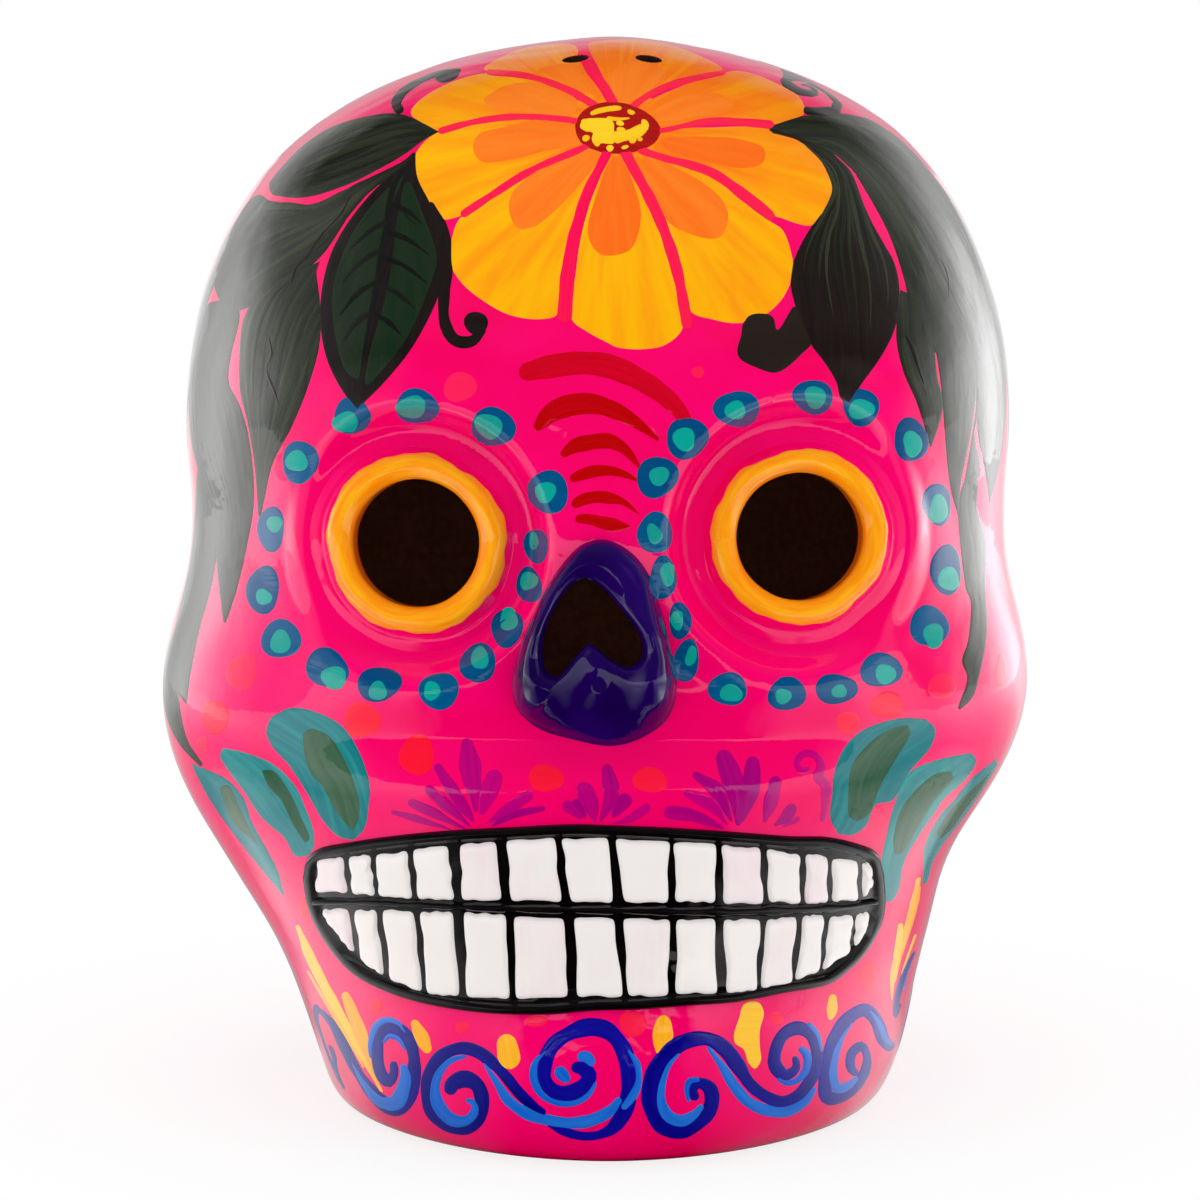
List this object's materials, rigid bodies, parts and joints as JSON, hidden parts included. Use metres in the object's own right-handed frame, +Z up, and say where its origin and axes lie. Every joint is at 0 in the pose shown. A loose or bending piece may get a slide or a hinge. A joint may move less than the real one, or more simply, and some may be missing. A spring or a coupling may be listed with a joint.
{
  "type": "painted clay skull",
  "caption": "Hollow painted clay skull ornament with ringed eye holes, nose hole, two rows of teeth, crown vents and an open foot.",
  "frame": {"origin": "on the surface that the skull stands on, under the middle of its width and depth", "axes": "+Z up, the face looks along -Y, the skull's own left eye is on +X"},
  "size_m": [0.1232, 0.144, 0.1487],
  "materials": {
    "pink_clay": "clear gloss varnish over hot pink paint",
    "orange_collar": "clear gloss varnish over brushed orange and yellow paint",
    "indigo_nose": "clear gloss varnish over dark indigo paint",
    "black_line": "clear gloss varnish over black paint",
    "white_teeth": "clear gloss varnish over white paint"
  },
  "bodies": {
    "root": {"face_shell": "pink_clay", "back_shell": "pink_clay", "left_eye_collar": "orange_collar", "right_eye_collar": "orange_collar", "nose_surround": "indigo_nose", "mouth_line": "black_line", "upper_teeth": "white_teeth", "lower_teeth": "white_teeth"}
  },
  "joints": []
}
